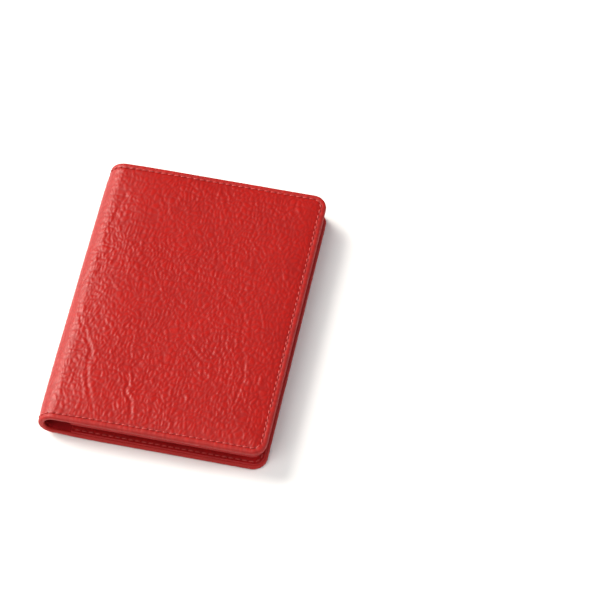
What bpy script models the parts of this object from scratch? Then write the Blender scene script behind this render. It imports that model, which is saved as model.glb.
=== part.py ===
"""Passport holder wallet: a bifold leather cover, closed, lying on its back cover.

Frame: metres, +Z up. The origin is on the table under the middle of the closed wallet.
+X points from the spine to the fore edge, +Y from the bottom edge to the top edge.

Every sheet that crosses the spine (outer leather, interlining, lining) is one piece on the real
wallet. It bends there, so it is made here in five rigid sections: back cover, three spine strips
and front cover. The four creases between the sections are the hinge axes of the opening motion.
"""

import math

import bmesh
import bpy

MM = 0.001

# Driving dimensions.
WIDTH = 109 * MM  # spine to fore edge, closed
HEIGHT = 148 * MM  # bottom edge to top edge
THICKNESS = 16.5 * MM  # outer face to outer face, closed
CORNER_RADIUS = 7 * MM
OUTER_LEATHER = 1.3 * MM
INTERLINING = 0.6 * MM
LINING = 0.5 * MM
POCKET_LEATHER = 0.7 * MM
SLOT_LEATHER = 0.6 * MM
SPINE_STRIPS = 3
CARD_SLOTS = 3
SLOT_STEP = 15 * MM  # from one card slot's mouth to the next
FIRST_SLOT_MOUTH = 8 * MM  # height of the highest slot's mouth, measured as Y
SPINE_MARGIN = 15.5 * MM  # from the outside of the spine to the pockets' free edges
SEAM_INSET = 2.8 * MM  # from the outline to the middle of the stitching
THREAD = 0.4 * MM

# Clearances between pieces that touch on the real wallet.
SHEET_GAP = 0.2 * MM  # between flat sheets
END_GAP = 0.3 * MM  # between neighbouring sections of one sheet
THREAD_GAP = 0.15 * MM  # between the inside stitching and the pockets under it
THREAD_SINK = 0.05 * MM  # from the outer face down to the outside stitching
CREASE_LIFT = 0.05 * MM  # from the outer face out to the hinge axes

# Worked out from the above.
FORE_EDGE = WIDTH / 2
SPINE_RADIUS = THICKNESS / 2
SPINE_CENTRE_X = -WIDTH / 2 + SPINE_RADIUS
CREASE_STEP = 180 / (SPINE_STRIPS + 1)  # degrees that each crease unfolds
CREASE_ANGLES = [CREASE_STEP * (k + 0.5) for k in range(SPINE_STRIPS + 1)]
CREASE_RADIUS = SPINE_RADIUS + CREASE_LIFT
INTERLINING_DEPTH = OUTER_LEATHER + SHEET_GAP
LINING_DEPTH = INTERLINING_DEPTH + INTERLINING + SHEET_GAP
WALL = LINING_DEPTH + LINING  # whole wall, and the depth of the turned edge
POCKET_DEPTH = WALL + SHEET_GAP
SLOT_DEPTH = POCKET_DEPTH + POCKET_LEATHER + SHEET_GAP
POCKET_START = -WIDTH / 2 + SPINE_MARGIN
POCKET_INSET = 1.2 * MM
GROOVE_WIDTH = THREAD + 2 * END_GAP
GROOVE_DEPTH = 0.5 * MM
SURPLUS = 1 * MM  # how far a cutter runs past what it cuts

ARC_STEP = 7.5  # degrees between the points of a rounded outline
SMOOTH_BELOW = 30  # degrees; faces that meet at less are shaded as one round face

COLOURS = {
    "outer_leather": ((0.55, 0.022, 0.016), 0.5),
    "pocket_leather": ((0.50, 0.020, 0.016), 0.55),
    "lining": ((0.33, 0.014, 0.014), 0.8),
    "interlining": ((0.62, 0.58, 0.50), 0.9),
    "thread": ((0.70, 0.07, 0.05), 0.6),
}


def clear_scene():
    for obj in list(bpy.data.objects):
        bpy.data.objects.remove(obj)


def material(slot):
    """The Principled material of a slot, made on first use."""
    found = bpy.data.materials.get(slot)
    if found:
        return found
    made = bpy.data.materials.new(slot)
    made.use_nodes = True
    colour, roughness = COLOURS[slot]
    shader = made.node_tree.nodes["Principled BSDF"]
    shader.inputs["Base Color"].default_value = (*colour, 1)
    shader.inputs["Roughness"].default_value = roughness
    shader.inputs["Metallic"].default_value = 0
    return made


def empty(name, parent, world):
    """An empty at a world position, whose children turn with a crease."""
    obj = bpy.data.objects.new(name, None)
    bpy.context.scene.collection.objects.link(obj)
    obj.parent = parent
    obj.location = [w - p for w, p in zip(world, parent_origin(parent))]
    return obj


def parent_origin(parent):
    """World position of an empty, whose own parents are only ever moved."""
    origin = [0, 0, 0]
    while parent:
        origin = [o + c for o, c in zip(origin, parent.location)]
        parent = parent.parent
    return origin


def place(obj, parent, slot=None):
    """Hangs an object modelled in world coordinates on its body's empty."""
    obj.parent = parent
    obj.location = [-c for c in parent_origin(parent)]
    if slot:
        obj.data.materials.append(material(slot))
    return obj


def prism(name, points, axis, low, high):
    """A closed solid: an outline in the plane across an axis, extruded along that axis."""
    mesh = bpy.data.meshes.new(name)
    shape = bmesh.new()
    if axis == "Y":
        outline, along = [(a, low, b) for a, b in points], (0, high - low, 0)
    else:
        outline, along = [(a, b, low) for a, b in points], (0, 0, high - low)
    face = shape.faces.new([shape.verts.new(corner) for corner in outline])
    grown = bmesh.ops.extrude_face_region(shape, geom=[face])["geom"]
    top = [item for item in grown if isinstance(item, bmesh.types.BMVert)]
    bmesh.ops.translate(shape, verts=top, vec=along)
    bmesh.ops.recalc_face_normals(shape, faces=shape.faces)
    shape.to_mesh(mesh)
    shape.free()
    obj = bpy.data.objects.new(name, mesh)
    bpy.context.scene.collection.objects.link(obj)
    return obj


def helper(obj):
    """Marks a cutter, which is not a piece of the wallet."""
    obj.hide_render = True
    obj.display_type = "WIRE"
    return obj


def boolean(obj, operation, cutter):
    modifier = obj.modifiers.new(operation.lower(), "BOOLEAN")
    modifier.operation = operation
    modifier.object = helper(cutter)


def arc(centre, radius, start, end):
    """Points on a circle, both ends included, at about ARC_STEP degrees."""
    count = max(1, round(abs(end - start) / ARC_STEP))
    angles = [math.radians(start + (end - start) * k / count) for k in range(count + 1)]
    return [(centre[0] + radius * math.cos(a), centre[1] + radius * math.sin(a)) for a in angles]


def cover_outline(start, inset, top=None):
    """XY outline of a cover: square at the spine side, rounded at the fore edge.

    A top below the cover's own cuts it off square there.
    """
    low, high, right = -HEIGHT / 2 + inset, HEIGHT / 2 - inset, FORE_EDGE - inset
    radius = CORNER_RADIUS - inset
    outline = [(start, low)] + arc((right - radius, low + radius), radius, -90, 0)
    if top is None:
        return outline + arc((right - radius, high - radius), radius, 0, 90) + [(start, high)]
    return outline + [(right, top), (start, top)]


def seam_outline(start, inset, width):
    """XY outline of a band that follows a cover's edge on its three free sides."""
    outside = cover_outline(start, inset - width / 2)
    inside = cover_outline(start, inset + width / 2)
    return outside + inside[::-1]


def spine_point(depth, angle, end_side):
    """XZ point on the round spine at a depth below its outer face.

    The angle runs from 0 at the bottom to 180 at the top. end_side moves the point half an
    END_GAP along the arc: +1 at the start of a section, -1 at its end, 0 inside it.
    """
    radius = SPINE_RADIUS - depth
    turn = math.radians(angle) + end_side * math.asin(END_GAP / 2 / radius)
    return (SPINE_CENTRE_X - radius * math.sin(turn), SPINE_RADIUS - radius * math.cos(turn))


def spine_line(depth, start, end, open_start, open_end):
    """Points along the round spine at one depth, between two angles.

    open_start and open_end are 1 at an end that stops half an END_GAP short, and 0 elsewhere.
    """
    count = max(1, round((end - start) / ARC_STEP))
    angles = [start + (end - start) * k / count for k in range(count + 1)]
    sides = [open_start] + [0] * (count - 1) + [-open_end]
    return [spine_point(depth, angle, side) for angle, side in zip(angles, sides)]


def strip_section(outer, inner, number, cutter=False):
    """XZ section of one spine strip of a sheet, between two depths.

    A cutter's section runs past the strip's ends, on the same facets of the arc.
    """
    past, gap = (ARC_STEP, 0) if cutter else (0, 1)
    start, end = CREASE_ANGLES[number] - past, CREASE_ANGLES[number + 1] + past
    outside = spine_line(outer, start, end, gap, gap)
    return outside + spine_line(inner, start, end, gap, gap)[::-1]


def cover_section(outer, inner, front, cutter):
    """XZ section of a cover of a sheet: the flat part, and the arc up to the first crease."""
    past, gap = (ARC_STEP, 0) if cutter else (0, 1)
    right = FORE_EDGE + SURPLUS
    outside = [(right, outer)] + spine_line(outer, 0, CREASE_ANGLES[0] + past, 0, gap)
    inside = [(right, inner)] + spine_line(inner, 0, CREASE_ANGLES[0] + past, 0, gap)
    section = outside + inside[::-1]
    return [(x, THICKNESS - z) for x, z in section] if front else section


def cover_sheet(name, outer, inner, inset, front, cutter=False):
    """The part of a sheet that lies in one cover, trimmed to the rounded outline."""
    section = cover_section(outer, inner, front, cutter)
    sheet = prism(name, section, "Y", -HEIGHT / 2, HEIGHT / 2)
    outline = cover_outline(-WIDTH / 2 - SURPLUS, inset)
    trim = prism(name + "_trim", outline, "Z", -SURPLUS, THICKNESS + SURPLUS)
    boolean(sheet, "INTERSECT", trim)
    return sheet


def flat_layer(name, outline, depth, thickness, front):
    """A flat sheet inside a cover, at a depth below that cover's outer face."""
    low = THICKNESS - depth - thickness if front else depth
    return prism(name, outline, "Z", low, low + thickness)


def outer_cover(name, front, body):
    """A cover of the outer leather: a tray whose rim is the turned edge, with a seam groove."""
    leather = cover_sheet(name, 0, WALL, 0, front)
    hollow = cover_sheet(
        name + "_hollow", OUTER_LEATHER, WALL + SURPLUS, OUTER_LEATHER, front, cutter=True
    )
    boolean(leather, "DIFFERENCE", hollow)
    band = seam_outline(SPINE_CENTRE_X, SEAM_INSET, GROOVE_WIDTH)
    groove = flat_layer(name + "_groove", band, -SURPLUS, SURPLUS + GROOVE_DEPTH, front)
    boolean(leather, "DIFFERENCE", groove)
    return place(leather, body, "outer_leather")


def outer_strip(name, number, body):
    """A spine strip of the outer leather, with turned ends and a seam groove near each end."""
    half = HEIGHT / 2
    leather = prism(name, strip_section(0, WALL, number), "Y", -half, half)
    inner = half - OUTER_LEATHER
    hollow = strip_section(OUTER_LEATHER, WALL + SURPLUS, number, cutter=True)
    boolean(leather, "DIFFERENCE", prism(name + "_hollow", hollow, "Y", -inner, inner))
    seam = half - SEAM_INSET
    for end, middle in (("bottom", -seam), ("top", seam)):
        low, high = middle - GROOVE_WIDTH / 2, middle + GROOVE_WIDTH / 2
        section = strip_section(-SURPLUS, GROOVE_DEPTH, number, cutter=True)
        boolean(leather, "DIFFERENCE", prism(f"{name}_{end}_groove", section, "Y", low, high))
    return place(leather, body, "outer_leather")


def thread_on_cover(name, front, body):
    """The perimeter stitching on a cover's outer face, sunk in the leather's groove."""
    band = seam_outline(SPINE_CENTRE_X + END_GAP, SEAM_INSET, THREAD)
    return place(flat_layer(name, band, THREAD_SINK, GROOVE_DEPTH / 2, front), body, "thread")


def thread_on_strip(name, number, middle, body):
    """The stitching that runs round the spine near one end, on one strip."""
    section = strip_section(THREAD_SINK, THREAD_SINK + GROOVE_DEPTH / 2, number)
    ribbon = prism(name, section, "Y", middle - THREAD / 2, middle + THREAD / 2)
    return place(ribbon, body, "thread")


def thread_inside(name, points, body):
    """Stitching that lies on the inner face of a cover, as a thin cord along its seam."""
    curve = bpy.data.curves.new(name, "CURVE")
    curve.dimensions = "3D"
    curve.bevel_depth = THREAD / 2
    curve.bevel_resolution = 0
    curve.use_fill_caps = True
    spline = curve.splines.new("POLY")
    spline.points.add(len(points) - 1)
    for target, point in zip(spline.points, points):
        target.co = (*point, 1)
    obj = bpy.data.objects.new(name, curve)
    bpy.context.scene.collection.objects.link(obj)
    return place(obj, body, "thread")


def slot_mouth(number):
    return FIRST_SLOT_MOUTH - number * SLOT_STEP


def slot_depth(number):
    return SLOT_DEPTH + number * (SLOT_LEATHER + SHEET_GAP)


def inner_face(y):
    """Z of the front cover's innermost face at a height on the wallet."""
    under = [slot_depth(k) + SLOT_LEATHER for k in range(CARD_SLOTS) if y < slot_mouth(k)]
    return THICKNESS - max(under + [POCKET_DEPTH + POCKET_LEATHER])


def back_thread_route():
    """The seam round the passport pocket: bottom edge, fore edge, top edge."""
    height = POCKET_DEPTH + POCKET_LEATHER + THREAD_GAP + THREAD / 2
    return [(x, y, height) for x, y in cover_outline(POCKET_START, SEAM_INSET)]


def front_thread_route():
    """The seam round the card pockets, stepping over each slot's mouth.

    It starts at the highest mouth, runs down the pockets' free edge, and then follows the
    cover's edge up to the top.
    """
    clear = THREAD_GAP + THREAD / 2
    step_room = THREAD / 2 + END_GAP
    flat = cover_outline(POCKET_START + SEAM_INSET, SEAM_INSET)
    low, high = flat[0][1], flat[-1][1]
    route = []
    for number in range(CARD_SLOTS):
        mouth = slot_mouth(number)
        before = inner_face(mouth + step_room) - clear
        after = inner_face(mouth - step_room) - clear
        route += [(flat[0][0], mouth + step_room, min(before, after))]
        route += [(flat[0][0], mouth - step_room, after)]
    route = route[1:]
    route += [(x, y, inner_face(y) - clear) for x, y in flat if y < 0 or y == low]
    right = FORE_EDGE - SEAM_INSET
    for number in reversed(range(CARD_SLOTS)):
        mouth = slot_mouth(number)
        after = inner_face(mouth + step_room) - clear
        before = inner_face(mouth - step_room) - clear
        route += [(right, mouth + step_room, before)]
        route += [(right, mouth + 2 * step_room, after)]
    route += [(x, y, inner_face(y) - clear) for x, y in flat if y > 0 or y == high]
    return route


def crease_position(number):
    """World position of a crease: the axis runs through it along Y."""
    turn = math.radians(CREASE_ANGLES[number])
    x = SPINE_CENTRE_X - CREASE_RADIUS * math.sin(turn)
    return (x, 0, SPINE_RADIUS - CREASE_RADIUS * math.cos(turn))


def make_bodies():
    """The chain of empties: back cover, spine strips and front cover."""
    bodies = [empty("back_cover_body", None, (0, 0, 0))]
    for number in range(SPINE_STRIPS):
        name = f"spine_{number + 1}_body"
        bodies.append(empty(name, bodies[-1], crease_position(number)))
    bodies.append(empty("front_cover_body", bodies[-1], crease_position(SPINE_STRIPS)))
    return bodies


def make_covers(bodies):
    """The three sheets of each cover."""
    for side, front, body in (("back", False, bodies[0]), ("front", True, bodies[-1])):
        outer_cover(f"outer_leather_{side}", front, body)
        inset = OUTER_LEATHER + END_GAP
        filling = cover_sheet(
            f"interlining_{side}", INTERLINING_DEPTH, INTERLINING_DEPTH + INTERLINING, inset, front
        )
        place(filling, body, "interlining")
        lining = cover_sheet(f"lining_{side}", LINING_DEPTH, LINING_DEPTH + LINING, inset, front)
        place(lining, body, "lining")
        thread_on_cover(f"stitching_{side}_outside", front, body)


def make_spine(bodies):
    """The same sheets round the spine, in strips."""
    inner = HEIGHT / 2 - OUTER_LEATHER - END_GAP
    seam = HEIGHT / 2 - SEAM_INSET
    for number in range(SPINE_STRIPS):
        body = bodies[number + 1]
        label = f"spine_{number + 1}"
        outer_strip(f"outer_leather_{label}", number, body)
        for slot, depth, thickness in (
            ("interlining", INTERLINING_DEPTH, INTERLINING),
            ("lining", LINING_DEPTH, LINING),
        ):
            section = strip_section(depth, depth + thickness, number)
            place(prism(f"{slot}_{label}", section, "Y", -inner, inner), body, slot)
        thread_on_strip(f"stitching_{label}_bottom", number, -seam, body)
        thread_on_strip(f"stitching_{label}_top", number, seam, body)


def make_pockets(back, front):
    """The passport pocket in the back cover and the card pockets in the front cover."""
    outline = cover_outline(POCKET_START, POCKET_INSET)
    for name, is_front, body in (("passport_pocket", False, back), ("slip_pocket", True, front)):
        pocket = flat_layer(name, outline, POCKET_DEPTH, POCKET_LEATHER, is_front)
        place(pocket, body, "pocket_leather")
    for number in range(CARD_SLOTS):
        outline = cover_outline(POCKET_START, POCKET_INSET, slot_mouth(number))
        depth = slot_depth(number)
        slot = flat_layer(f"card_slot_{number + 1}", outline, depth, SLOT_LEATHER, True)
        place(slot, front, "pocket_leather")
    thread_inside("stitching_passport_pocket", back_thread_route(), back)
    thread_inside("stitching_card_pockets", front_thread_route(), front)


def shade_round_faces():
    """Makes the cuts final and shades the round faces of every mesh smooth."""
    bpy.context.view_layer.update()
    graph = bpy.context.evaluated_depsgraph_get()
    pieces = [obj for obj in bpy.data.objects if obj.type == "MESH" and not obj.hide_render]
    shapes = [bpy.data.meshes.new_from_object(obj.evaluated_get(graph)) for obj in pieces]
    for obj, mesh in zip(pieces, shapes):
        obj.modifiers.clear()
        obj.data = mesh
        mesh.shade_smooth()
        mesh.set_sharp_from_angle(angle=math.radians(SMOOTH_BELOW))
    for cutter in [obj for obj in bpy.data.objects if obj.hide_render]:
        bpy.data.objects.remove(cutter)


def main():
    clear_scene()
    bodies = make_bodies()
    make_covers(bodies)
    make_spine(bodies)
    make_pockets(bodies[0], bodies[-1])
    shade_round_faces()
    bpy.context.view_layer.update()


main()
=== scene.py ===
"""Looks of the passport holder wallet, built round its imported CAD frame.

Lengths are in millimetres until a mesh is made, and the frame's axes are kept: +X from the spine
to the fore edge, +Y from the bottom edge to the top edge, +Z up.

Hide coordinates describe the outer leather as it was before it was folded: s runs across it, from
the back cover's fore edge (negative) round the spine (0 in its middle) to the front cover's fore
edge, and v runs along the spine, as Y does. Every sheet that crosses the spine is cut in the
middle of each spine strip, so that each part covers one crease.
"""

import math
from collections.abc import Callable
from dataclasses import dataclass

import bpy
import numpy as np
from mathutils import Matrix, Vector


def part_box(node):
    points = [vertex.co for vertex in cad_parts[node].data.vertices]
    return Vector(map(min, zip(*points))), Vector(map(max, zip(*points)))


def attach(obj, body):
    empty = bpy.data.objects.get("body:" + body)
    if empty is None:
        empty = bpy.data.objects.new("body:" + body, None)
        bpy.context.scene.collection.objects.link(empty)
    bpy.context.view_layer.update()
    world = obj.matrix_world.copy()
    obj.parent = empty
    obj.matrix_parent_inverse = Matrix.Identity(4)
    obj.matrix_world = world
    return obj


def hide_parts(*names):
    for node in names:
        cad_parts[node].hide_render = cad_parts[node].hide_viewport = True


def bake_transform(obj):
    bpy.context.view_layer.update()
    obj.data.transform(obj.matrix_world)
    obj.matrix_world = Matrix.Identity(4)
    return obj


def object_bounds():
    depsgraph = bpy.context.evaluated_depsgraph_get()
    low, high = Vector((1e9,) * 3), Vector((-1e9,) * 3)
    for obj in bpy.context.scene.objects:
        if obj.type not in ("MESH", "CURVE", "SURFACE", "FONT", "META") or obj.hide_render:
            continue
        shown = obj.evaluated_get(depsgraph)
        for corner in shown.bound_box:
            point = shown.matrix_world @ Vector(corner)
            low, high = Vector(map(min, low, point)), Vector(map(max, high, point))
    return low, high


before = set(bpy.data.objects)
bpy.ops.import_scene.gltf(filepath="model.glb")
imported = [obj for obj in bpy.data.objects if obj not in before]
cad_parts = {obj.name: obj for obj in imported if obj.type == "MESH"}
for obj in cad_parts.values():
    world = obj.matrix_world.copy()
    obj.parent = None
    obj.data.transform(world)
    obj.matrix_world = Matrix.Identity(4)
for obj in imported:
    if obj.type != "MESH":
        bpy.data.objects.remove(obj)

MM = 0.001


def box_mm(corners):
    """Lowest and highest corner, in millimetres."""
    low, high = corners
    return np.array(low) / MM, np.array(high) / MM


CAD_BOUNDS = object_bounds()
LOW, HIGH = box_mm(CAD_BOUNDS)
THICKNESS = HIGH[2] - LOW[2]
HALF_HEIGHT = HIGH[1]
FORE_EDGE = HIGH[0]
SPINE_RADIUS = THICKNESS / 2
SPINE_X = LOW[0] + SPINE_RADIUS
QUARTER = SPINE_RADIUS * math.pi / 2  # along the hide, from the spine's middle to a flat cover
REACH = QUARTER + FORE_EDGE - SPINE_X  # from the spine's middle to a fore edge
CUTS = (-QUARTER / 2, 0.0, QUARTER / 2)
BODIES = ("back_cover", "spine_1", "spine_2", "spine_3", "front_cover")

WALL = box_mm(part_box("lining_back"))[1][2]  # hide, interlining and lining together
LEATHER = 1.3
CORNER_RADIUS = 7.0
RIM = WALL / 2  # how far in from the outline the turned edge starts to round over
RIM_STEPS = 10
RIM_FULLNESS = 0.75  # 1 is a round turned edge, less is a squarer one
CLOTH_INSET = 1.6  # from the outline to the lining and the interlining
CLOTH_CORNER = CORNER_RADIUS - 2
PANEL_INSET = 1.2  # from the outline to a pocket
PANEL_CORNER = 0.4

PUFF = 0.9  # how far the leather swells inside its seam
SHOULDER = 1.6  # how far the front cover slopes down towards the spine
SHOULDER_PLACE = QUARTER - 5  # across the hide, where the slope is deepest
SHOULDER_FADE = (12.0, 7.0)  # towards the fore edge, and round the spine
SETTLE = 1.2  # the lower cover's lift off the table beside the spine
PEBBLE_HEIGHT = 0.24
WRINKLE_HEIGHT = 0.12
BUMP_HEIGHT = 0.08
UNDULATION = 0.07

SEAM_INSET = 2.8
PANEL_SEAM = 1.6  # from a pocket's own edge to its seam
SEAM_START = 1.5  # from a pocket's open edge to its first stitch
STITCH_PITCH = 3.2
STITCH_LENGTH = 2.5
STITCH_TILT = 4  # degrees between a stitch and its seam
THREAD_WIDTH = 0.68
THREAD_HEIGHT = 0.5

# Long natural creases of the front cover, in hide coordinates, with their depth and half width.
# All but the last were traced on the photograph, and a separate script turned most of their points
# into millimetres.
CREASES = [
    ([(16, -24), (18, -29), (21.5, -35), (21.5, -43), (24, -52), (27, -60), (30, -66)], 0.16, 0.75),
    ([(40, -43), (43, -49), (43, -54), (46.5, -58.5), (47.5, -63.5), (48.5, -69)], 0.20, 0.75),
    ([(27.5, -43), (35, -43), (39.5, -46), (42, -48)], 0.11, 0.7),
    ([(41.5, -46), (42.5, -41), (45.5, -37.5), (47, -33.5)], 0.12, 0.7),
    ([(71, 13), (78, 7), (85, 4), (89.5, -6), (89, -14.5), (92, -21)], 0.08, 0.75),
    ([(92, -21), (95, -32), (95, -41), (94.5, -46), (93, -52)], 0.14, 0.7),
    ([(6, 0), (9, 7.5), (13, 16), (19, 22), (26, 26)], 0.12, 0.75),
    ([(12, -4), (12.5, 6), (16, 11), (22, 17.5), (27, 19)], 0.10, 0.75),
    ([(53.5, 2), (62, -3.5), (68.5, 0)], 0.07, 0.75),
    ([(19.5, 63), (16, 51), (14.5, 40), (11, 31)], 0.09, 0.8),
    ([(64.5, -22), (72, -28), (78, -32.5)], 0.08, 0.75),
    ([(10, -7), (10.5, -14), (14, -22)], 0.09, 0.75),
    ([(33, 60), (39, 50), (37, 41)], 0.06, 0.75),
]


# Noise and patterns ------------------------------------------------------------------------------


def hashed(ix, iy, seed):
    """A fixed pseudo-random number from 0 to 1 for each lattice point."""
    mask = np.int64(0xFFFFFFFF)
    n = (ix.astype(np.int64) * 374761393 + iy.astype(np.int64) * 668265263 + seed * 362437) & mask
    n = ((n ^ (n >> 13)) * 1274126177) & mask
    n = ((n ^ (n >> 16)) * 2246822519) & mask
    return ((n ^ (n >> 15)) & mask) / 4294967295.0


def noise(x, y, seed):
    """Smooth value noise from -1 to 1, one lattice cell a unit."""
    ix, iy = np.floor(x), np.floor(y)
    fx, fy = x - ix, y - iy
    ux = fx * fx * fx * (fx * (fx * 6 - 15) + 10)
    uy = fy * fy * fy * (fy * (fy * 6 - 15) + 10)
    low = hashed(ix, iy, seed) * (1 - ux) + hashed(ix + 1, iy, seed) * ux
    high = hashed(ix, iy + 1, seed) * (1 - ux) + hashed(ix + 1, iy + 1, seed) * ux
    return 2 * (low * (1 - uy) + high * uy) - 1


def fractal(x, y, seed, octaves=2):
    """Noise with finer noise added, from -1 to 1."""
    total, weight = 0.0, 0.0
    for k in range(octaves):
        share = 0.5**k
        total = total + share * noise(x * 2**k, y * 2**k, seed + 17 * k)
        weight += share
    return total / weight


def cells(x, y, seed):
    """Distances to the nearest and second nearest point of a jittered lattice."""
    ix, iy = np.floor(x), np.floor(y)
    near = np.full(x.shape, 9.0)
    second = np.full(x.shape, 9.0)
    for dx in (-1, 0, 1):
        for dy in (-1, 0, 1):
            px = ix + dx + 0.5 + 0.42 * (2 * hashed(ix + dx, iy + dy, seed) - 1)
            py = iy + dy + 0.5 + 0.42 * (2 * hashed(ix + dx, iy + dy, seed + 5) - 1)
            distance = np.hypot(x - px, y - py)
            second = np.minimum(second, np.maximum(near, distance))
            near = np.minimum(near, distance)
    return near, second


def smooth_step(value, low, high):
    """0 below the low value and 1 above the high one, with a smooth change between them."""
    t = np.clip((value - low) / (high - low), 0, 1)
    return t * t * (3 - 2 * t)


def smooth_line(points, steps=6):
    """A Catmull-Rom curve through a few points."""
    p = np.array([points[0], *points, points[-1]], float)
    t = np.linspace(0, 1, steps, endpoint=False)[:, None]
    spans = []
    for a, b, c, d in zip(p, p[1:], p[2:], p[3:]):
        cubic = 2 * b + (c - a) * t + (2 * a - 5 * b + 4 * c - d) * t**2
        spans.append(0.5 * (cubic + (3 * b - a - 3 * c + d) * t**3))
    return np.vstack([*spans, p[-1:]])


def distance_to_line(s, v, line):
    """Distance from each point to a polyline, and how far along it the nearest place is, 0 to 1."""
    best = np.full(s.shape, 1e9)
    along = np.zeros(s.shape)
    count = len(line) - 1
    for k, (a, b) in enumerate(zip(line, line[1:])):
        d = b - a
        t = np.clip(((s - a[0]) * d[0] + (v - a[1]) * d[1]) / max(d @ d, 1e-9), 0, 1)
        gap = np.hypot(s - a[0] - t * d[0], v - a[1] - t * d[1])
        closer = gap < best
        best = np.where(closer, gap, best)
        along = np.where(closer, (k + t) / count, along)
    return best, along


def rounded_route(corners, radius):
    """A route through right-angled corners, each rounded by an arc."""
    p = np.array(corners, float)
    route = [p[:1]]
    turn = np.linspace(0, np.pi / 2, 12)[:, None]
    for before, corner, after in zip(p, p[1:], p[2:]):
        back = (before - corner) / np.linalg.norm(before - corner)
        onward = (after - corner) / np.linalg.norm(after - corner)
        centre = corner + radius * (back + onward)
        route.append(centre - radius * (onward * np.cos(turn) + back * np.sin(turn)))
    return np.vstack([*route, p[-1:]])


def spread(route, offset=0.5):
    """Evenly spaced stitch places along a route, a pitch apart, and the headings there."""
    lengths = np.linalg.norm(np.diff(route, axis=0), axis=1)
    travelled = np.concatenate([[0], np.cumsum(lengths)])
    count = round(travelled[-1] / STITCH_PITCH)
    wanted = (np.arange(count) + offset) * travelled[-1] / count
    middle = np.stack([np.interp(wanted, travelled, route[:, k]) for k in (0, 1)], axis=-1)
    ahead = np.stack([np.interp(wanted + 0.3, travelled, route[:, k]) for k in (0, 1)], axis=-1)
    heading = ahead - middle
    return middle, heading / np.linalg.norm(heading, axis=1, keepdims=True)


SEAM_S, SEAM_V = REACH - SEAM_INSET, HALF_HEIGHT - SEAM_INSET
SEAM_RADIUS = CORNER_RADIUS - SEAM_INSET
OUTSIDE_CORNERS = [(SEAM_S, -SEAM_V), (SEAM_S, SEAM_V), (-SEAM_S, SEAM_V), (-SEAM_S, -SEAM_V)]
OUTSIDE_SEAM = rounded_route([(0, -SEAM_V), *OUTSIDE_CORNERS, (0, -SEAM_V)], SEAM_RADIUS)
NEEDLE_HOLES = spread(OUTSIDE_SEAM, 0.0)[0]


# The hide's relief -------------------------------------------------------------------------------


def inset_of(s, v):
    """Distance inside the outline of the unrolled hide."""
    qs = np.abs(s) - (REACH - CORNER_RADIUS)
    qv = np.abs(v) - (HALF_HEIGHT - CORNER_RADIUS)
    outside = np.hypot(np.maximum(qs, 0), np.maximum(qv, 0))
    return CORNER_RADIUS - outside - np.minimum(np.maximum(qs, qv), 0)


def pebbles(s, v, seed=3, size=1.9):
    """Domed, wandering grain from 0 in the valleys to 1 on the pebbles, longer along the spine."""
    ws = s + 1.6 * noise(s / 6, v / 8, seed + 1) + 0.5 * noise(s / 2.4, v / 3.4, seed + 2)
    wv = v + 1.6 * noise(s / 6, v / 8, seed + 3) + 0.9 * noise(s / 2.4, v / 3.4, seed + 4)
    near, second = cells(ws / size, wv / (1.8 * size), seed)
    return np.sin(np.clip((second - near) / 0.85, 0, 1) * np.pi / 2)


def wrinkles(s, v, seed=40):
    """Wavy narrow ridges that run mostly along the spine, from 0 to 1 on their crests."""
    ws = s + 1.8 * noise(s / 7, v / 9, seed) + 0.5 * noise(s / 2.5, v / 2.5, seed + 9)
    crest = 1 - np.abs(noise(ws / 2.2, v / 4.8, seed + 1)) * 2.4
    return np.clip(crest, 0, 1) ** 1.5


def random_creases(seed, count, low, high):
    """Wandering creases between two values of s."""
    draw = np.random.default_rng(seed)
    lines = []
    for _ in range(count):
        point = np.array([draw.uniform(low, high), draw.uniform(-60, 60)])
        heading = draw.uniform(1.0, 2.1)
        points = [point]
        for _ in range(draw.integers(3, 7)):
            heading += draw.normal(0, 0.35)
            point = point + 7 * np.array([math.cos(heading), math.sin(heading)])
            points.append(point)
        lines.append((points, draw.uniform(0.06, 0.14), draw.uniform(0.6, 0.8)))
    return lines


def crease_relief(s, v, creases):
    """Valleys with a raised lip on both sides."""
    relief = np.zeros(s.shape)
    wobble = 0.22 * noise(s / 1.6, v / 1.6, 91)
    for points, depth, width in creases:
        line = smooth_line(points)
        low, high = line.min(axis=0) - 4, line.max(axis=0) + 4
        close = (s > low[0]) & (s < high[0]) & (v > low[1]) & (v < high[1])
        gap, along = distance_to_line(s[close], v[close], line)
        gap = np.abs(gap + wobble[close])
        taper = np.clip(np.minimum(along, 1 - along) * 5, 0, 1)
        lip = np.exp(-(((gap - 2.2 * width) / (1.1 * width)) ** 2))
        relief[close] += taper * depth * (0.55 * lip - np.exp(-((gap / width) ** 2)))
    return relief


ALL_CREASES = CREASES + random_creases(seed=8, count=12, low=-105, high=-8)


def hole_relief(s, v, inset):
    """A pit at each needle hole and a soft pull round it, as depths from 0 to 1."""
    pit, pull = np.zeros(s.shape), np.zeros(s.shape)
    band = np.abs(inset - SEAM_INSET) < 2
    bs, bv = s[band], v[band]
    band_pit, band_pull = np.zeros(bs.shape), np.zeros(bs.shape)
    for hole_s, hole_v in NEEDLE_HOLES:
        square_gap = (bs - hole_s) ** 2 + (bv - hole_v) ** 2
        band_pit = np.maximum(band_pit, np.exp(-square_gap / 0.35**2))
        band_pull = np.maximum(band_pull, np.exp(-square_gap / 0.9**2))
    pit[band], pull[band] = band_pit, band_pull
    return pit, pull


def shoulder(s):
    """How far the front cover slopes down towards the spine, beyond the CAD's round spine."""
    beside = s - SHOULDER_PLACE
    return SHOULDER * np.exp(-((beside / np.where(beside > 0, *SHOULDER_FADE)) ** 2))


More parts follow.
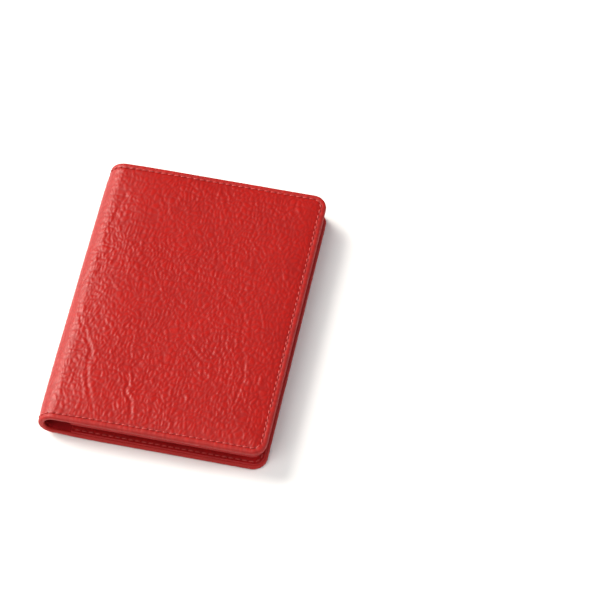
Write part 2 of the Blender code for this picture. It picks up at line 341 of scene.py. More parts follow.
def hide_relief(s, v):
    """Height of the finished leather over its plain form, and its marks for the material.

    The marks are the grain (0 in valleys, 1 on pebbles), the seam and the edge. From them the
    material paints shade into the valleys, the seam and the needle holes, and a highlight onto the
    pebbles and the edge.
    """
    inset = inset_of(s, v)
    grain = pebbles(s, v)
    soft = wrinkles(s, v)
    inside = smooth_step(inset, SEAM_INSET + 0.3, SEAM_INSET + 4)
    on_spine = 1 - smooth_step(np.abs(s), 0.6 * QUARTER, 1.1 * QUARTER)
    strength = (0.75 + 0.25 * noise(s / 16, v / 22, 61)) * (0.6 + 0.4 * inside)
    strength = strength * (1 - 0.4 * on_spine)
    bumps = noise(s / 1.5, v / 2.6, 81)
    height = PEBBLE_HEIGHT * (grain - 0.6) + WRINKLE_HEIGHT * soft + BUMP_HEIGHT * bumps
    height = strength * height + UNDULATION * inside * fractal(s / 11, v / 17, 71)
    height += inside * crease_relief(s, v, ALL_CREASES)
    swollen = 1 - np.exp(-np.maximum(inset - SEAM_INSET, 0) / 6)
    height += PUFF * swollen - shoulder(s) * (0.35 + 0.65 * swollen)
    pit, pull = hole_relief(s, v, inset)
    valley = np.exp(-(((inset - SEAM_INSET) / 0.6) ** 2))
    height -= 0.08 * valley + 0.07 * pit + 0.06 * pull
    height += 0.03 * np.sin(np.pi * np.clip(inset / SEAM_INSET, 0, 1))
    underside = smooth_step(-s, QUARTER * 0.7, QUARTER * 1.1)
    pressed = np.minimum(0.45 * (height - PUFF - 0.1), 0)
    height = height * (1 - underside) + pressed * underside
    # The edge mark carries a painted highlight onto the turned edge, and roughens it.
    edge = 1 - smooth_step(inset, 0.6, SEAM_INSET)
    # The seam mark carries painted shade into the seam's valley and the needle holes.
    marks = np.stack([grain, np.clip(0.2 * valley + 0.5 * pit, 0, 1), edge], axis=-1)
    return height, marks


# Places on the wallet ----------------------------------------------------------------------------


def settle(x, z):
    """How far the lower cover's spine side lifts off the table."""
    along = np.exp(-((np.maximum(x - SPINE_X, 0) / 9) ** 2))
    return SETTLE * along * np.clip(1 - z / SPINE_RADIUS, 0, 1) ** 2


def round_place(s, v, depth):
    """Where a point of the folded hide lies on its plain form, at a depth below its face."""
    s, v, depth = np.broadcast_arrays(s, v, depth)
    angle = np.clip(s, -QUARTER, QUARTER) / SPINE_RADIUS
    flat = np.maximum(np.abs(s) - QUARTER, 0)
    radius = SPINE_RADIUS - depth
    x = SPINE_X - radius * np.cos(angle) + flat
    z = SPINE_RADIUS + radius * np.sin(angle)
    return np.stack([x, v, z], axis=-1)


def wrap(s, v, depth):
    """As round_place, with the lower cover settled."""
    place = round_place(s, v, depth)
    place[..., 2] += settle(place[..., 0], place[..., 2])
    return place


def wrap_normal(s, v):
    """The outward normal of the folded hide's plain form."""
    angle = np.clip(s, -QUARTER, QUARTER) / SPINE_RADIUS
    return np.stack([-np.cos(angle), np.zeros_like(angle), np.sin(angle)], axis=-1)


def steps(*stops):
    """Grid lines through stops given as place, step, place, step, ..., place."""
    lines = [np.array([stops[0]], float)]
    for start, step, end in zip(stops[::2], stops[1::2], stops[2::2]):
        count = max(1, round((end - start) / step))
        lines.append(np.linspace(start, end, count + 1)[1:])
    return np.concatenate(lines)


def rounded_grid(s_lines, v_lines, radii):
    """Grid points whose square corners are moved onto quarter circles.

    radii holds the corner radii as ((low s low v, low s high v), (high s low v, high s high v)).
    """
    s, v = np.meshgrid(s_lines, v_lines, indexing="ij")
    middle_s, half_s = (s_lines[0] + s_lines[-1]) / 2, (s_lines[-1] - s_lines[0]) / 2
    middle_v, half_v = (v_lines[0] + v_lines[-1]) / 2, (v_lines[-1] - v_lines[0]) / 2
    new_s, new_v = s.copy(), v.copy()
    for side_s, row in zip((-1, 1), radii):
        for side_v, radius in zip((-1, 1), row):
            a = ((s - middle_s) * side_s - half_s) / radius + 1
            b = ((v - middle_v) * side_v - half_v) / radius + 1
            corner = (a > 0) & (b > 0)
            round_a = a * np.sqrt(np.clip(1 - b * b / 2, 0, 1))
            round_b = b * np.sqrt(np.clip(1 - a * a / 2, 0, 1))
            moved_s = middle_s + side_s * (half_s - radius + radius * round_a)
            moved_v = middle_v + side_v * (half_v - radius + radius * round_b)
            new_s = np.where(corner, moved_s, new_s)
            new_v = np.where(corner, moved_v, new_v)
    return new_s, new_v


def perimeter(m, n):
    """Grid indices of the border, counter-clockwise from the first corner."""
    bottom = [(i, 0) for i in range(m)]
    right = [(m - 1, j) for j in range(1, n)]
    top = [(i, n - 1) for i in range(m - 2, -1, -1)]
    left = [(0, j) for j in range(n - 2, 0, -1)]
    return np.array(bottom + right + top + left)


def outward(s_lines, v_lines, radii, border):
    """Unit directions in the sheet, pointing out of its rounded outline at each border point."""
    s, v = s_lines[border[:, 0]], v_lines[border[:, 1]]
    middle_s, half_s = (s_lines[0] + s_lines[-1]) / 2, (s_lines[-1] - s_lines[0]) / 2
    middle_v, half_v = (v_lines[0] + v_lines[-1]) / 2, (v_lines[-1] - v_lines[0]) / 2
    side_s, side_v = np.where(s < middle_s, -1, 1), np.where(v < middle_v, -1, 1)
    radius = np.array(radii)[(side_s + 1) // 2, (side_v + 1) // 2]
    a = np.clip((np.abs(s - middle_s) - half_s) / radius + 1, 0, 1)
    b = np.clip((np.abs(v - middle_v) - half_v) / radius + 1, 0, 1)
    round_a, round_b = a * np.sqrt(1 - b * b / 2), b * np.sqrt(1 - a * a / 2)
    return np.stack([side_s * round_a, side_v * round_b], axis=-1)


# Sheets as closed solids -------------------------------------------------------------------------


@dataclass
class Sheet:
    """A sheet with thickness, drawn from the face that shows.

    Its rings, given as outward offset, depth and share of the relief, carry that face's border
    round the edge to the hidden face. A turned sheet's face looks against s x v.
    """

    s_lines: np.ndarray
    v_lines: np.ndarray
    radii: tuple
    rings: list
    place: Callable
    normal: Callable
    relief: Callable
    turned: bool = False


def solid(sheet):
    """Points, hide coordinates, marks, quads with the grid column of each, and the end faces.

    The hidden face's quads run the whole height, as that face is straight along v.
    """
    m, n = len(sheet.s_lines), len(sheet.v_lines)
    s, v = rounded_grid(sheet.s_lines, sheet.v_lines, sheet.radii)
    height, marks = sheet.relief(s, v)
    face = sheet.place(s, v, 0.0) + sheet.normal(s, v) * height[..., None]
    border = perimeter(m, n)
    bi, bj = border[:, 0], border[:, 1]
    direction = outward(sheet.s_lines, sheet.v_lines, sheet.radii, border)
    # The rings round the edge blend towards these marks, which carry the edge's painted highlight.
    edge_mark = np.array([0.8, 0.0, 1.0])
    points, hide, shown = [face.reshape(-1, 3)], [np.stack([s, v], -1).reshape(-1, 2)], []
    for offset, depth, share in sheet.rings:
        ring = np.stack([s[bi, bj], v[bi, bj]], axis=-1)
        place_s, place_v = (ring + direction * offset).T
        lifted = sheet.normal(place_s, place_v) * (height[bi, bj] * share)[:, None]
        points.append(sheet.place(place_s, place_v, depth) + lifted)
        hide.append(ring + direction * math.hypot(offset, depth))
        shown.append(marks[bi, bj] * share + edge_mark * (1 - share))

    index = np.arange(m * n).reshape(m, n)
    quads = np.stack([index[:-1, :-1], index[1:, :-1], index[1:, 1:], index[:-1, 1:]], axis=-1)
    quads, columns = [quads.reshape(-1, 4)], [np.repeat(np.arange(m - 1), n - 1)]
    count = len(border)
    after = (np.arange(count) + 1) % count
    ring_column = np.minimum(np.minimum(bi, bi[after]), m - 2)
    previous = index[bi, bj]
    loops = [previous]
    for k in range(len(sheet.rings)):
        current = m * n + k * count + np.arange(count)
        quads.append(np.stack([previous[after], previous, current, current[after]], axis=-1))
        columns.append(ring_column)
        previous = current
        loops.append(current)
    low, high = previous[:m], previous[m + n - 2 : 2 * m + n - 2][::-1]
    quads.append(np.stack([low[:-1], high[:-1], high[1:], low[1:]], axis=-1))
    columns.append(np.arange(m - 1))
    fore_end = previous[m - 1 : m + n - 1]
    spine_end = np.concatenate([previous[2 * m + n - 3 :], previous[:1]])
    ends = [(fore_end.tolist(), m - 2), (spine_end.tolist(), 0)]
    marks = np.vstack([marks.reshape(-1, 3), *shown])
    quads, columns = np.vstack(quads), np.concatenate(columns)
    return np.vstack(points), np.vstack(hide), marks, quads, columns, ends, loops


def cut_face(column, m, n, loops):
    """The polygon that closes a sheet where it is cut along one grid line."""
    across = [column * n + j for j in range(n)]
    top = [int(loop[2 * m + n - 3 - column]) for loop in loops[1:]]
    bottom = [int(loop[column]) for loop in loops[1:]]
    return across + top + bottom[::-1]


def make_mesh(name, points, faces, hide, marks, material, normals=None):
    """A smooth-shaded object from points in millimetres."""
    mesh = bpy.data.meshes.new(name)
    mesh.from_pydata(np.asarray(points) * MM, [], faces)
    mesh.materials.append(material)
    mesh.shade_smooth()
    flat = np.concatenate([np.asarray(hide) * MM, np.zeros((len(hide), 1))], axis=1)
    for attribute_name, values in (("hide", flat), ("marks", marks)):
        attribute = mesh.attributes.new(attribute_name, "FLOAT_VECTOR", "POINT")
        attribute.data.foreach_set("vector", np.asarray(values, np.float32).ravel())
    if normals is not None:
        mesh.normals_split_custom_set_from_vertices(normals)
    obj = bpy.data.objects.new(name, mesh)
    bpy.context.scene.collection.objects.link(obj)
    return obj


def vertex_normals(points, faces):
    """Normals of the whole sheet, so that its parts shade as one where they meet."""
    mesh = bpy.data.meshes.new("whole")
    mesh.from_pydata(np.asarray(points) * MM, [], faces)
    normals = np.empty(len(points) * 3, np.float32)
    mesh.vertex_normals.foreach_get("vector", normals)
    bpy.data.meshes.remove(mesh)
    return normals.reshape(-1, 3)


def bend(piece, part):
    """Bakes a part's transform into its mesh; the ends of the crease it covers are found but not
    used.
    """
    stops = (-QUARTER, *CUTS, QUARTER)
    start, end = (tuple(round_place(s, 0.0, 0.0) * MM) for s in stops[part : part + 2])
    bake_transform(piece)


def folded(stem, sheet, material, nodes):
    """A sheet that crosses the spine, as four parts that each cover one crease."""
    m, n = len(sheet.s_lines), len(sheet.v_lines)
    points, hide, marks, quads, columns, ends, loops = solid(sheet)
    order = slice(None, None, -1 if sheet.turned else 1)
    whole = [face[order] for face in quads.tolist() + [face for face, _ in ends]]
    normals = vertex_normals(points, whole)
    places = [0, *(int(np.argmin(np.abs(sheet.s_lines - cut))) for cut in CUTS), m - 1]
    pieces = []
    for part, (first, last) in enumerate(zip(places, places[1:])):
        faces = quads[(columns >= first) & (columns < last)].tolist()
        faces += [face for face, column in ends if first <= column < last]
        if part > 0:
            faces.append(cut_face(first, m, n, loops))
        if part < 3:
            faces.append(cut_face(last, m, n, loops)[::-1])
        used = np.unique(np.concatenate([np.asarray(face) for face in faces]))
        lookup = np.full(len(points), -1)
        lookup[used] = np.arange(len(used))
        faces = [lookup[np.asarray(face)][order].tolist() for face in faces]
        name = f"{stem}_{part + 1}"
        shape = points[used], faces, hide[used], marks[used]
        piece = make_mesh(name, *shape, material, normals[used])
        bend(piece, part)
        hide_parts(*nodes[part])
        pieces.append(piece)
    return pieces


def section_nodes(stem):
    """The CAD nodes of one sheet, shared among its four parts."""
    middle = [f"{stem}_spine_{number}" for number in (1, 2, 3)]
    return [f"{stem}_back"], middle[:2], middle[2:], [f"{stem}_front"]


def flat_panel(name, body, sheet, material, node):
    """A panel that stays on one cover."""
    points, hide, marks, quads, _, ends, _ = solid(sheet)
    order = slice(None, None, -1 if sheet.turned else 1)
    faces = [face[order] for face in quads.tolist() + [face for face, _ in ends]]
    piece = make_mesh(name, points, faces, hide, marks, material)
    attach(piece, body)
    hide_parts(node)
    return piece


# Outer leather -----------------------------------------------------------------------------------


def rim_rings():
    """Rings that roll the leather over the edge of the wall and tuck it in beside the lining."""
    rings = []
    for k in range(1, RIM_STEPS + 1):
        sine, cosine = math.sin(math.pi * k / RIM_STEPS), math.cos(math.pi * k / RIM_STEPS)
        offset = RIM * sine**RIM_FULLNESS if k < RIM_STEPS else 0.0
        depth = RIM * (1 - math.copysign(abs(cosine) ** RIM_FULLNESS, cosine))
        rings.append((offset, depth, (1 + cosine) / 2))
    return rings + [(-0.05, WALL - 0.2, 0), (-0.1, WALL - 0.9, 0), (-0.1, LEATHER, 0)]


def square(radius):
    """The same radius at all four corners."""
    return ((radius, radius), (radius, radius))


def symmetric(half):
    """Grid lines on both sides of the spine's middle, from those on one side."""
    return np.concatenate([-half[:0:-1], half])


def outer_leather(material):
    end, top = REACH - RIM, HALF_HEIGHT - RIM
    sheet = Sheet(
        s_lines=symmetric(steps(0, 0.4, CUTS[2], 0.4, QUARTER, 0.45, end - 4, 0.3, end)),
        v_lines=steps(-top, 0.3, -top + 4, 0.45, top - 4, 0.3, top),
        radii=square(CORNER_RADIUS - RIM),
        rings=rim_rings(),
        place=wrap,
        normal=wrap_normal,
        relief=hide_relief,
    )
    nodes = section_nodes("outer_leather")
    pieces = folded("outer_leather", sheet, material, nodes)


# Lining and interlining --------------------------------------------------------------------------


def round_edge(thickness, count=6):
    """Rings of a soft half-round edge, down to the hidden face."""
    radius = thickness / 2
    rings = []
    for k in range(1, count + 1):
        turn = math.pi * k / count
        offset, depth = radius * math.sin(turn), radius * (1 - math.cos(turn))
        rings.append((offset, depth, (1 + math.cos(turn)) / 2))
    return rings


def cloth_relief(s, v):
    """Cloth glued to the leather: nearly flat, with small wrinkles where the spine bends it."""
    in_spine = np.exp(-((s / (0.8 * QUARTER)) ** 2))
    wave = noise(s / 2.2, v / 26, 301) + 0.5 * noise(s / 1.3, v / 11, 302)
    height = 0.05 * fractal(s / 9, v / 12, 303) + 0.22 * in_spine * wave
    marks = np.stack([0.5 + 0.5 * np.clip(wave, -1, 1) * in_spine, 0 * s, 0 * s], axis=-1)
    return height, marks


def cloth_layer(stem, depth, thickness, spacing, relief, material):
    """A layer of cloth inside the folded leather, drawn from its inner face."""

    def place(s, v, below):
        return wrap(s, v, depth + thickness - below)

    def inward(s, v):
        return -wrap_normal(s, v)

    end, top = REACH - CLOTH_INSET - thickness / 2, HALF_HEIGHT - CLOTH_INSET - thickness / 2
    half = steps(0, 0.5, CUTS[2], 0.5, QUARTER, spacing, end)
    sheet = Sheet(
        s_lines=symmetric(half),
        v_lines=steps(-top, spacing, top),
        radii=square(CLOTH_CORNER),
        rings=round_edge(thickness),
        place=place,
        normal=inward,
        relief=relief,
        turned=True,
    )
    pieces = folded(stem, sheet, material, section_nodes(stem))


def felt_relief(s, v):
    """Felt: soft, low bumps."""
    marks = np.stack([0.5 + 0 * s, 0 * s, 0 * s], axis=-1)
    return 0.03 * noise(s / 3, v / 3, 351), marks


# Pockets -----------------------------------------------------------------------------------------


def panel_relief(box_low, box_high, seed, mouth):
    """Fine-grained leather, pressed in along its seams, with a crease line beside its mouth.

    mouth is the edge that isn't sewn: "spine" for a pocket open towards the spine, or "top".
    """

    def relief(s, v):
        grain = pebbles(s + 300 * seed, v, seed, 1.3)
        from_spine, from_fore = s - box_low[0], box_high[0] - s
        from_bottom, from_top = v - box_low[1], box_high[1] - v
        sewn = [from_fore, from_bottom] + ([from_top] if mouth == "spine" else [from_spine])
        open_edge = from_spine if mouth == "spine" else from_top
        seam = sum(np.exp(-(((d - PANEL_SEAM) / 0.5) ** 2)) for d in sewn)
        inside = smooth_step(np.minimum.reduce(sewn), PANEL_SEAM, PANEL_SEAM + 5)
        height = 0.15 * (grain - 0.6) + 0.08 * inside * fractal(s / 13, v / 17, seed)
        height -= 0.16 * np.clip(seam, 0, 1) + 0.10 * np.exp(-(((open_edge - 1.5) / 0.25) ** 2))
        height += 0.06 * np.exp(-((open_edge / 1.0) ** 2)) + 0.08 * inside
        # The marks carry the grain for painted shade and highlight, painted shade along the seams
        # and a painted highlight near the edges, which also roughens them.
        edge = np.exp(-np.minimum.reduce([*sewn, open_edge]) / 0.5)
        return height, np.stack([grain, np.clip(seam, 0, 1) * 0.3, edge], axis=-1)

    return relief


def pocket(node, body, seed, mouth, material):
    """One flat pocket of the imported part, with a soft edge and real leather relief."""
    low, high = box_mm(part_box(node))
    thickness = high[2] - low[2]
    faces_up = body == BODIES[0]
    edge = thickness / 2

    def place(s, v, below):
        z = high[2] - below if faces_up else low[2] + below
        s, v, z = np.broadcast_arrays(s, v, z)
        lift = settle(s, z) if faces_up else 0 * s
        return np.stack([s, v, z + lift], axis=-1)

    def normal(s, v):
        zero = np.zeros_like(s)
        return np.stack([zero, zero, zero + (1 if faces_up else -1)], axis=-1)

    fore = CORNER_RADIUS - PANEL_INSET - edge
    far_fore = fore if mouth == "spine" else PANEL_CORNER
    sheet = Sheet(
        s_lines=steps(low[0] + edge, 0.5, high[0] - edge),
        v_lines=steps(low[1] + edge, 0.5, high[1] - edge),
        radii=((PANEL_CORNER, PANEL_CORNER), (fore, far_fore)),
        rings=round_edge(thickness),
        place=place,
        normal=normal,
        relief=panel_relief(low, high, seed, mouth),
        turned=not faces_up,
    )
    panel = flat_panel(f"{node}_panel", body, sheet, material, node)


def pockets(material):
    """The passport pocket on the back cover, and the slip pocket and card slots on the front one."""
    pocket("passport_pocket", "back_cover", 11, "spine", material)
    pocket("slip_pocket", "front_cover", 12, "spine", material)
    for number in (1, 2, 3):
        pocket(f"card_slot_{number}", "front_cover", 12 + number, "top", material)


# Stitching ---------------------------------------------------------------------------------------


def stitch_template(length=STITCH_LENGTH, width=THREAD_WIDTH, height=THREAD_HEIGHT):
    """One stitch of three-ply thread, diving into the leather at both ends.

    Columns are the distances along it, across it and up from the leather.
    """
    stations, around = 11, 12
    u = np.sin(np.linspace(-np.pi / 2, np.pi / 2, stations + 2))[1:-1, None]
    turn = np.arange(around) * 2 * np.pi / around
    swell = (1 - np.abs(u) ** 5) ** 0.5
    ply = 1 + 0.08 * np.cos(3 * turn - 5.5 * u)
    along = u * length / 2 + 0 * turn
    across = width / 2 * swell * ply * np.cos(turn)
    up = height / 2 * swell * ply * np.sin(turn) + 0.22 - 0.5 * np.abs(u) ** 3.5
    ring_points = np.stack([along, across, up], axis=-1).reshape(-1, 3)
    tips = np.array([[-length / 2, 0, -0.3], [length / 2, 0, -0.3]])
    faces = []
    for k in range(stations - 1):
        for j in range(around):
            a, b = k * around + j, k * around + (j + 1) % around
            faces.append((a, b, b + around, a + around))
    first, last = stations * around, stations * around + 1
    for j in range(around):
        after = (j + 1) % around
        faces.append((after, j, first))
        end = (stations - 1) * around
        faces.append((end + j, end + after, last))
    return np.vstack([ring_points, tips]), faces


def stitches(name, centres, along, up, material, seed):
    """Every stitch of one run as one mesh."""
    template, faces = stitch_template()
    draw = np.random.default_rng(seed)
    side = np.cross(up, along)
    points, all_faces, hide, marks = [], [], [], []
    for k, (c, t, n, b) in enumerate(zip(centres, along, up, side)):
        tilt = math.radians(STITCH_TILT + draw.normal(0, 1.5))
        forward = t * math.cos(tilt) + b * math.sin(tilt)
        across = b * math.cos(tilt) - t * math.sin(tilt)
        size = 1 + draw.normal(0, 0.03)
        local = template * [size, 1, 1]
        points.append(c + local[:, :1] * forward + local[:, 1:2] * across + local[:, 2:] * n)
        all_faces += [tuple(i + k * len(template) for i in face) for face in faces]
        hide.append(local[:, :2] + [k * STITCH_PITCH, 0])
        tone = draw.uniform(0, 1)
        marks.append(np.tile([tone, 0, 0], (len(template), 1)))
    shape = np.vstack(points), all_faces, np.vstack(hide), np.vstack(marks)
    return make_mesh(name, *shape, material)


def seam_frames(route, place, normal):
    """Where each stitch of a seam lies, the way it runs and which way is up."""
    middle, heading = spread(route)
    points = place(*middle.T)
    ahead = place(*(middle + 0.05 * heading).T) - place(*(middle - 0.05 * heading).T)
    ahead /= np.linalg.norm(ahead, axis=1, keepdims=True)
    up = normal(*middle.T)
    return points, ahead, up, middle


def outside_stitching(material):
    """The seam round the whole wallet, in four parts split where the hide is cut."""

    def place(s, v):
        height, _ = hide_relief(s, v)
        return wrap(s, v, 0.0) + wrap_normal(s, v) * (np.minimum(height, -0.15))[:, None]

    points, ahead, up, middle = seam_frames(OUTSIDE_SEAM, place, wrap_normal)
    stops = (-1e9, *CUTS, 1e9)
    nodes = (
        ["stitching_back_outside"],
        ["stitching_spine_1_bottom", "stitching_spine_1_top"],
        ["stitching_spine_2_bottom", "stitching_spine_2_top"],
        ["stitching_front_outside", "stitching_spine_3_bottom", "stitching_spine_3_top"],
    )
    for part in range(4):
        mine = (middle[:, 0] >= stops[part]) & (middle[:, 0] < stops[part + 1])
        name = f"outside_stitches_{part + 1}"
        piece = stitches(name, points[mine], ahead[mine], up[mine], material, 500 + part)
        bend(piece, part)
        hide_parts(*nodes[part])


def cover_stitching(name, body, node, seam, material, seed):
    """A pocket's seam, which stays on one cover."""
    points, ahead, up, _ = seam
    piece = stitches(name, points, ahead, up, material, seed)
    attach(piece, body)
    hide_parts(node)


def inside_stitching(material):
    """The seams of the passport pocket and of the card pockets."""
    pocket_low, pocket_high = box_mm(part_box("passport_pocket"))
    start, end = pocket_low[0], FORE_EDGE - SEAM_INSET
    top = HALF_HEIGHT - SEAM_INSET
    corners = [(start + SEAM_START, -top), (end, -top), (end, top), (start + SEAM_START, top)]
    route = rounded_route(corners, SEAM_RADIUS)

    def on_pocket(x, y):
        z = pocket_high[2] - 0.1 + 0 * x
        return np.stack([x, y, z + settle(x, z)], axis=-1)

    def straight_up(x, y):
        return np.stack([0 * x, 0 * x, 1 + 0 * x], axis=-1)

    seam = seam_frames(route, on_pocket, straight_up)
    node = "stitching_passport_pocket"
    cover_stitching("passport_pocket_stitches", "back_cover", node, seam, material, 510)

    slots = [box_mm(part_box(f"card_slot_{number}")) for number in (1, 2, 3)]
    slip_low = box_mm(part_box("slip_pocket"))[0]
    column = start + SEAM_INSET
    first_mouth = slots[0][1][1]
    corners = [(column, first_mouth - 1), (column, -top), *corners[1:]]
    route = rounded_route(corners, SEAM_RADIUS)

    def under_slots(x, y):
        z = slip_low[2] + 0.1 + 0 * x
        for low, high in slots:
            step = smooth_step(high[1] - y, -0.4, 0.8)
            z = z * (1 - step) + (low[2] + 0.1) * step
        return np.stack([x, y, z], axis=-1)

    def straight_down(x, y):
        return -straight_up(x, y)

    seam = seam_frames(route, under_slots, straight_down)
    node = "stitching_card_pockets"
    cover_stitching("card_pocket_stitches", "front_cover", node, seam, material, 511)


# Materials ---------------------------------------------------------------------------------------


class Nodes:
    """Short names for building one material's node tree."""

    def __init__(self, name):
        self.material = bpy.data.materials.new(name)
        self.material.use_nodes = True
        self.tree = self.material.node_tree
        self.shader = self.tree.nodes["Principled BSDF"]

    def add(self, kind, **values):
        node = self.tree.nodes.new("ShaderNode" + kind)
        for key, value in values.items():
            setattr(node, key, value)
        return node

    def link(self, source, target):
        self.tree.links.new(source, target)

    def attribute(self, name, output):
        return self.add("Attribute", attribute_name=name).outputs[output]

    def noise(self, vector, scale, detail=2.0, roughness=0.5):
        node = self.add("TexNoise")
        node.inputs["Scale"].default_value = scale
        node.inputs["Detail"].default_value = detail
        node.inputs["Roughness"].default_value = roughness
        self.link(vector, node.inputs["Vector"])
        return node.outputs["Fac"]

    def wave(self, vector, scale, direction):
        node = self.add("TexWave", bands_direction=direction)
        node.inputs["Scale"].default_value = scale
        node.inputs["Distortion"].default_value = 0.6
        self.link(vector, node.inputs["Vector"])
        return node.outputs["Fac"]

    def parts(self, vector):
        node = self.add("SeparateXYZ")
        self.link(vector, node.inputs["Vector"])
        return tuple(node.outputs)

    def voronoi(self, vector, scale):
        node = self.add("TexVoronoi", feature="SMOOTH_F1")
        node.inputs["Scale"].default_value = scale
        self.link(vector, node.inputs["Vector"])
        return node.outputs["Distance"]

    def math(self, operation, first, second):
        node = self.add("Math", operation=operation)
        for socket, value in zip(node.inputs, (first, second)):
            if isinstance(value, (int, float)):
                socket.default_value = value
            else:
                self.link(value, socket)
        return node.outputs["Value"]

    def ramp(self, factor, *stops):
        node = self.add("ValToRGB")
        elements = node.color_ramp.elements
        while len(elements) < len(stops):
            elements.new(0.5)
        for element, (position, colour) in zip(elements, stops):
            element.position = position
            element.color = (*colour, 1)
        self.link(factor, node.inputs["Fac"])
        return node.outputs["Color"]

    def mix(self, factor, first, second):
        node = self.add("Mix", data_type="RGBA", blend_type="MIX")
        sockets = node.inputs[0], node.inputs[6], node.inputs[7]
        for socket, value in zip(sockets, (factor, first, second)):
            if isinstance(value, tuple):
                socket.default_value = (*value, 1)
            else:
                self.link(value, socket)
        return node.outputs[2]

    def span(self, factor, low, high):
        node = self.add("MapRange")
        node.inputs["To Min"].default_value = low
        node.inputs["To Max"].default_value = high
        self.link(factor, node.inputs["Value"])
        return node.outputs["Result"]

    def bump(self, height, distance):
        node = self.add("Bump")
        node.inputs["Strength"].default_value = 1.0
        node.inputs["Distance"].default_value = distance
        self.link(height, node.inputs["Height"])
        return node.outputs["Normal"]


def leather(name, deep, light, size=1.0):
    """Pigmented grain leather with painted shade in the valleys, the seams and the needle holes, and
    painted highlights on the pebbles and the edges; smoother on the pebbles, rougher on the edges.
    """
    n = Nodes(name)
    hide = n.attribute("hide", "Vector")
    grain, seam, edge = n.parts(n.attribute("marks", "Vector"))
    patches = n.noise(hide, 45, 3)
    # The grain's share paints shade into the valleys and a highlight onto the pebbles; the patches
    # are tone that differs at random.
    shade = n.math("ADD", n.math("MULTIPLY", grain, 0.45), n.math("MULTIPLY", patches, 0.6))
    bright = tuple(min(1.15 * c, 1) for c in light)
    colour = n.ramp(shade, (0.15, deep), (0.6, light), (1.0, bright))
    # Painted highlight on the turned edges.
    colour = n.mix(n.math("MULTIPLY", edge, 0.3), colour, bright)
    # Painted shade in the grain's valleys.
    groove_painted_shade = n.math("MULTIPLY", n.math("POWER", n.math("SUBTRACT", 1.0, grain), 2.0), 0.35)
    colour = n.mix(groove_painted_shade, colour, tuple(0.9 * c for c in deep))
    # Painted shade in the seams' valleys and the needle holes.
    colour = n.mix(seam, colour, tuple(0.35 * c for c in deep))
    n.link(colour, n.shader.inputs["Base Color"])
    pores = n.voronoi(hide, 1900 / size)
    fibres = n.noise(hide, 3200 / size, 3, 0.6)
    fine = n.math("ADD", n.math("MULTIPLY", pores, 0.7), n.math("MULTIPLY", fibres, 0.5))
    n.link(n.bump(fine, 0.000028), n.shader.inputs["Normal"])
    rough = n.math("ADD", n.math("MULTIPLY", grain, -0.10), n.math("MULTIPLY", fibres, 0.12))
    rough = n.math("ADD", rough, n.math("MULTIPLY", edge, 0.25))
    n.link(n.math("ADD", rough, 0.41), n.shader.inputs["Roughness"])
    n.shader.inputs["Specular IOR Level"].default_value = 0.38
    return n.material


def woven_lining():
    """Fine plain weave with soft shade changes."""
    n = Nodes("woven_lining")
    hide = n.attribute("hide", "Vector")
    warp = n.wave(hide, 900, "X")
    weft = n.wave(hide, 900, "Y")
    weave = n.math("MULTIPLY", warp, weft)
    slub = n.noise(hide, 260, 3)
    shade = n.math("ADD", n.math("MULTIPLY", weave, 0.5), n.math("MULTIPLY", slub, 0.5))
    colour = n.ramp(shade, (0.1, (0.25, 0.002, 0.0035)), (0.7, (0.36, 0.005, 0.008)))
    n.link(colour, n.shader.inputs["Base Color"])
    n.link(n.bump(weave, 0.00006), n.shader.inputs["Normal"])
    n.link(n.span(slub, 0.75, 0.9), n.shader.inputs["Roughness"])
    n.shader.inputs["Sheen Weight"].default_value = 0.15
    n.shader.inputs["Sheen Tint"].default_value = (0.9, 0.12, 0.12, 1)
    n.shader.inputs["Specular IOR Level"].default_value = 0.2
    return n.material


def wool_felt():
    """Off-white felt with tangled fibres."""
    n = Nodes("wool_felt")
    hide = n.attribute("hide", "Vector")
    clouds = n.noise(hide, 300, 4, 0.6)
    fibres = n.noise(hide, 2500, 4, 0.7)
    shade = n.math("ADD", n.math("MULTIPLY", clouds, 0.6), n.math("MULTIPLY", fibres, 0.4))
    colour = n.ramp(shade, (0.3, (0.36, 0.34, 0.30)), (0.7, (0.46, 0.44, 0.40)))
    n.link(colour, n.shader.inputs["Base Color"])
    n.link(n.bump(fibres, 0.0001), n.shader.inputs["Normal"])
    n.link(n.span(clouds, 0.88, 0.98), n.shader.inputs["Roughness"])
    n.shader.inputs["Sheen Weight"].default_value = 0.4
    return n.material


def waxed_thread():
    """Satin twisted thread, a shade paler than the leather."""
    n = Nodes("waxed_thread")
    hide = n.attribute("hide", "Vector")
    tone, _, _ = n.parts(n.attribute("marks", "Vector"))
    fibres = n.noise(hide, 4000, 3, 0.6)
    shade = n.math("ADD", n.math("MULTIPLY", tone, 0.5), n.math("MULTIPLY", fibres, 0.5))
    colour = n.ramp(shade, (0.2, (0.37, 0.010, 0.008)), (0.8, (0.45, 0.024, 0.019)))
    n.link(colour, n.shader.inputs["Base Color"])
    n.link(n.bump(fibres, 0.00004), n.shader.inputs["Normal"])
    n.link(n.span(fibres, 0.42, 0.55), n.shader.inputs["Roughness"])
    n.shader.inputs["Specular IOR Level"].default_value = 0.65
    return n.material


def paper_white():
    """The floor's matt white."""
    n = Nodes("floor_white")
    n.shader.inputs["Base Color"].default_value = (0.97, 0.97, 0.97, 1)
    n.shader.inputs["Roughness"].default_value = 0.9
    n.shader.inputs["Specular IOR Level"].default_value = 0.1
    return n.material


# Stage, light and camera -------------------------------------------------------------------------


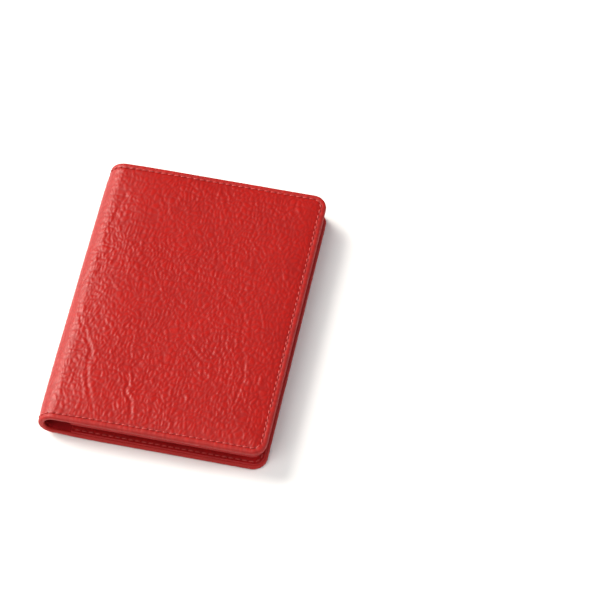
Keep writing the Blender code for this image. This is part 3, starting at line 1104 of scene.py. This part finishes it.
def make_floor():
    """A white floor just under the wallet, in metres."""
    size, below = 3.0, -0.00005
    corners = [(-size, -size), (size, -size), (size, size), (-size, size)]
    mesh = bpy.data.meshes.new("floor")
    mesh.from_pydata([(x, y, below) for x, y in corners], [], [(0, 1, 2, 3)])
    floor = bpy.data.objects.new("floor", mesh)
    bpy.context.scene.collection.objects.link(floor)
    mesh.materials.append(paper_white())


def add_area(name, place, size, power, colour):
    """A rectangular light that faces the wallet."""
    data = bpy.data.lights.new(name, "AREA")
    data.shape = "RECTANGLE"
    data.size, data.size_y = size
    data.energy = power
    data.color = colour
    lamp = bpy.data.objects.new(name, data)
    bpy.context.scene.collection.objects.link(lamp)
    lamp.location = place
    lamp.rotation_euler = (-Vector(place)).to_track_quat("-Z", "Y").to_euler()


def make_lights():
    """A warm softbox beside the spine, two fills, and a dim white surrounding."""
    add_area("softbox", (-1.8, 0.6, 1.4), size=(1.2, 1.8), power=95, colour=(1, 0.94, 0.86))
    add_area("front fill", (-0.9, -1.6, 2.4), size=(2.0, 2.0), power=52, colour=(1, 0.97, 0.93))
    add_area("side fill", (2.6, 0.2, 1.9), size=(1.6, 1.6), power=34, colour=(0.92, 0.97, 1))
    world = bpy.data.worlds.new("studio")
    world.use_nodes = True
    background = world.node_tree.nodes["Background"]
    background.inputs["Color"].default_value = (1, 1, 1, 1)
    background.inputs["Strength"].default_value = 0.2
    bpy.context.scene.world = world


def make_camera():
    """The camera, turned about its own axis by the roll."""
    azimuth, elevation, roll = math.radians(12.35), math.radians(57.46), math.radians(-0.51)
    distance, target = 1.661, Vector((0.0508, 0.0233, 0))
    level = math.cos(elevation)
    back = Vector((math.sin(azimuth) * level, -math.cos(azimuth) * level, math.sin(elevation)))
    right = (-back).cross(Vector((0, 0, 1))).normalized()
    up = right.cross(-back)
    turned_right = math.cos(roll) * right + math.sin(roll) * up
    turned_up = math.cos(roll) * up - math.sin(roll) * right
    data = bpy.data.cameras.new("camera")
    data.sensor_width = 36
    data.lens = 206.65
    data.clip_end = 20
    camera = bpy.data.objects.new("camera", data)
    bpy.context.scene.collection.objects.link(camera)
    rotation = Matrix((turned_right, turned_up, back)).transposed().to_4x4()
    camera.matrix_world = Matrix.Translation(target + distance * back) @ rotation
    bpy.context.scene.camera = camera


make_camera()
make_lights()
make_floor()
bpy.context.scene.view_settings.view_transform = "Standard"

thread = waxed_thread()
outer_leather(leather("red_leather", (0.27, 0.0018, 0.0009), (0.34, 0.0038, 0.0015)))
cloth_layer(
    "lining",
    depth=2.3,
    thickness=0.5,
    spacing=1.0,
    relief=cloth_relief,
    material=woven_lining(),
)
cloth_layer(
    "interlining",
    depth=1.5,
    thickness=0.6,
    spacing=3.0,
    relief=felt_relief,
    material=wool_felt(),
)
pockets(leather("pocket_leather", (0.29, 0.0026, 0.0038), (0.37, 0.0056, 0.0060), 0.8))
outside_stitching(thread)
inside_stitching(thread)
